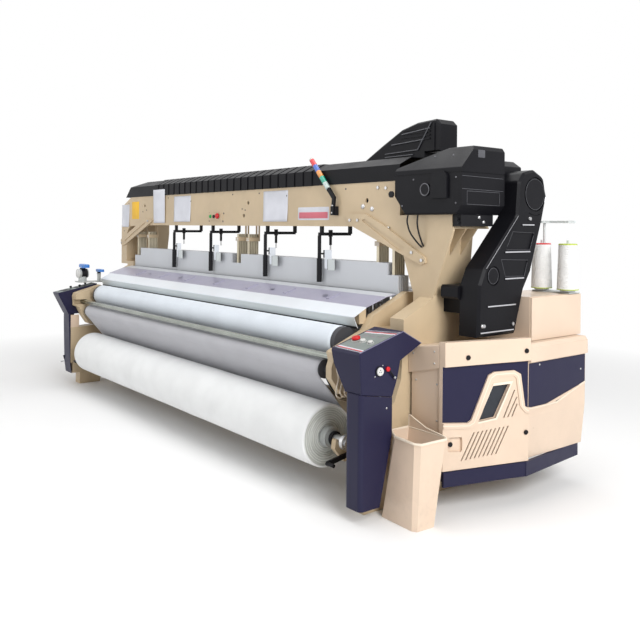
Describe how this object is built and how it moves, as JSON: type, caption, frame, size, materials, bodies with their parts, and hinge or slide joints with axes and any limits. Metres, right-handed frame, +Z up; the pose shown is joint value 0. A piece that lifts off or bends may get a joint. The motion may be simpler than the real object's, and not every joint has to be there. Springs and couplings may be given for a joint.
{
  "type": "power loom",
  "caption": "Wide power loom with overhead dobby, heald frames, sley, take-up rollers, cloth roll, warp beam, consoles and end covers.",
  "frame": {"origin": "middle of the floor area that the machine covers, on the floor", "axes": "+X along the width to the dobby and drive end, +Y from the cloth side to the warp side, +Z up"},
  "size_m": [5.18, 1.963, 2.2416],
  "materials": {
    "cast_beige": "semi-gloss paint on casting",
    "cover_cream": "satin paint",
    "cover_white": "satin paint",
    "steel": "machined",
    "chrome": "polished",
    "rubber_grey": "matt",
    "cloth_white": "woven",
    "cloth_grey": "woven",
    "yarn_white": "wound yarn",
    "plastic_dark": "fine texture",
    "plastic_navy": "smooth",
    "plastic_grey": "fine texture",
    "plastic_red": "smooth",
    "plastic_green": "smooth",
    "plastic_blue": "smooth",
    "lens": "translucent",
    "aluminium": "anodised",
    "reed_steel": "fine wires",
    "bin_paint": "satin paint"
  },
  "bodies": {
    "frame": {"beam_end_dome": "plastic_dark", "beam_switch_box": "plastic_grey", "beam_top_cover": "plastic_dark", "breast_cover": "cover_white", "cloth_web": "cloth_grey", "console_column_left": "cast_beige", "console_column_right": "plastic_navy", "console_head_left": "plastic_navy", "console_head_right": "plastic_navy", "control_cabinet": "cover_cream", "corner_braces": "cast_beige", "cover_bolts": "steel", "cross_beams": "cast_beige", "dobby_box": "plastic_dark", "dobby_cables": "plastic_dark", "dobby_mount_block": "plastic_dark", "drive_case": "plastic_dark", "drive_motor": "plastic_grey", "end_cover_left": "cover_cream", "front_covers_right": "cover_cream", "hanger_bars": "plastic_dark", "hanger_rods": "plastic_dark", "harness_guides": "plastic_dark", "overhead_beam": "cast_beige", "rear_cover_right": "cover_cream", "reed_shield": "cover_white", "side_frame_left": "cast_beige", "side_frame_right": "cast_beige", "signal_lamp_lenses": "lens", "signal_lamp_pole": "cast_beige", "skirt_right": "plastic_navy", "spreader_rod": "chrome", "upright_left": "cast_beige", "upright_right": "cast_beige", "waste_bin": "bin_paint", "weft_pump": "steel", "yarn_cones": "yarn_white", "yarn_stand": "steel"},
    "cloth_roll_body": {"cloth_roll": "cloth_white", "cloth_roll_shaft": "steel"},
    "take_up_body": {"take_up_roller": "rubber_grey"},
    "press_body": {"press_roller": "rubber_grey"},
    "warp_body": {"warp_beam": "yarn_white"},
    "back_rest_body": {"back_rest_roller": "steel"},
    "sley_body": {"sley": "cast_beige", "reed": "reed_steel"},
    "front_door_body": {"door_front": "cover_cream"},
    "cabinet_door_body": {"cabinet_door": "cover_cream"},
    "stop_body": {"console_stop_button": "plastic_red"},
    "start_body": {"console_start_button": "plastic_green"},
    "jog_body": {"console_jog_button": "plastic_grey"},
    "lever_body": {"roll_clamp_levers": "steel"},
    "beam_stop_body": {"beam_stop_button": "plastic_red"},
    "pump_handle_body": {"pump_handle": "plastic_blue"},
    "heald_1_body": {"heald_frame_1": "aluminium"},
    "heald_2_body": {"heald_frame_2": "aluminium"},
    "heald_3_body": {"heald_frame_3": "aluminium"},
    "heald_4_body": {"heald_frame_4": "aluminium"},
    "heald_5_body": {"heald_frame_5": "aluminium"},
    "heald_6_body": {"heald_frame_6": "aluminium"}
  },
  "joints": [
    {"name": "cloth_roll_turn", "type": "hinge", "parent": "frame", "child": "cloth_roll_body", "pos_m": [0, -0.7335, 0.343], "axis": [1, 0, 0], "continuous": true},
    {"name": "take_up_turn", "type": "hinge", "parent": "frame", "child": "take_up_body", "pos_m": [0, -0.6115, 0.88], "axis": [1, 0, 0], "continuous": true},
    {"name": "press_roller_turn", "type": "hinge", "parent": "frame", "child": "press_body", "pos_m": [0, -0.7365, 0.73], "axis": [1, 0, 0], "continuous": true},
    {"name": "warp_beam_turn", "type": "hinge", "parent": "frame", "child": "warp_body", "pos_m": [0, 0.5685, 0.6], "axis": [1, 0, 0], "continuous": true},
    {"name": "back_rest_turn", "type": "hinge", "parent": "frame", "child": "back_rest_body", "pos_m": [0, 0.6005, 1.08], "axis": [1, 0, 0], "continuous": true},
    {"name": "sley_swing", "type": "hinge", "parent": "frame", "child": "sley_body", "pos_m": [0, -0.2815, 0.45], "axis": [1, 0, 0], "range_deg": [0, 8]},
    {"name": "front_door_swing", "type": "hinge", "parent": "frame", "child": "front_door_body", "pos_m": [2.59, 0.1075, 0.6], "axis": [0, 0, 1], "range_deg": [0, 90]},
    {"name": "cabinet_door_swing", "type": "hinge", "parent": "frame", "child": "cabinet_door_body", "pos_m": [2.512, 0.7155, 1.028], "axis": [0, 0, 1], "range_deg": [0, 100]},
    {"name": "roll_clamp_turn", "type": "hinge", "parent": "frame", "child": "lever_body", "pos_m": [0, -0.6635, 0.268], "axis": [1, 0, 0], "range_deg": [0, 60]},
    {"name": "pump_handle_turn", "type": "hinge", "parent": "frame", "child": "pump_handle_body", "pos_m": [-2.138, -0.7115, 1.13], "axis": [0, 0, 1], "range_deg": [-30, 90]},
    {"name": "console_stop_press", "type": "slide", "parent": "frame", "child": "stop_body", "axis": [0, 0.2727, -0.9621], "range_m": [0, 0.006], "stiffness_N_per_m": 300, "springref_m": -0.005},
    {"name": "console_start_press", "type": "slide", "parent": "frame", "child": "start_body", "axis": [0, 0.2727, -0.9621], "range_m": [0, 0.006], "stiffness_N_per_m": 300, "springref_m": -0.005},
    {"name": "console_jog_press", "type": "slide", "parent": "frame", "child": "jog_body", "axis": [0, 0.2727, -0.9621], "range_m": [0, 0.006], "stiffness_N_per_m": 300, "springref_m": -0.005},
    {"name": "beam_stop_press", "type": "slide", "parent": "frame", "child": "beam_stop_body", "axis": [0, 1, 0], "range_m": [0, 0.006], "stiffness_N_per_m": 300, "springref_m": -0.005},
    {"name": "heald_1_lift", "type": "slide", "parent": "frame", "child": "heald_1_body", "axis": [0, 0, 1], "range_m": [-0.045, 0.045]},
    {"name": "heald_2_lift", "type": "slide", "parent": "frame", "child": "heald_2_body", "axis": [0, 0, 1], "range_m": [-0.045, 0.045]},
    {"name": "heald_3_lift", "type": "slide", "parent": "frame", "child": "heald_3_body", "axis": [0, 0, 1], "range_m": [-0.045, 0.045]},
    {"name": "heald_4_lift", "type": "slide", "parent": "frame", "child": "heald_4_body", "axis": [0, 0, 1], "range_m": [-0.045, 0.045]},
    {"name": "heald_5_lift", "type": "slide", "parent": "frame", "child": "heald_5_body", "axis": [0, 0, 1], "range_m": [-0.045, 0.045]},
    {"name": "heald_6_lift", "type": "slide", "parent": "frame", "child": "heald_6_body", "axis": [0, 0, 1], "range_m": [-0.045, 0.045]}
  ],
  "couplings": [
    {"joint": "take_up_turn", "follows": "cloth_roll_turn", "ratio": 2.0556},
    {"joint": "press_roller_turn", "follows": "cloth_roll_turn", "ratio": -3.3036},
    {"joint": "back_rest_turn", "follows": "warp_beam_turn", "ratio": 5}
  ]
}
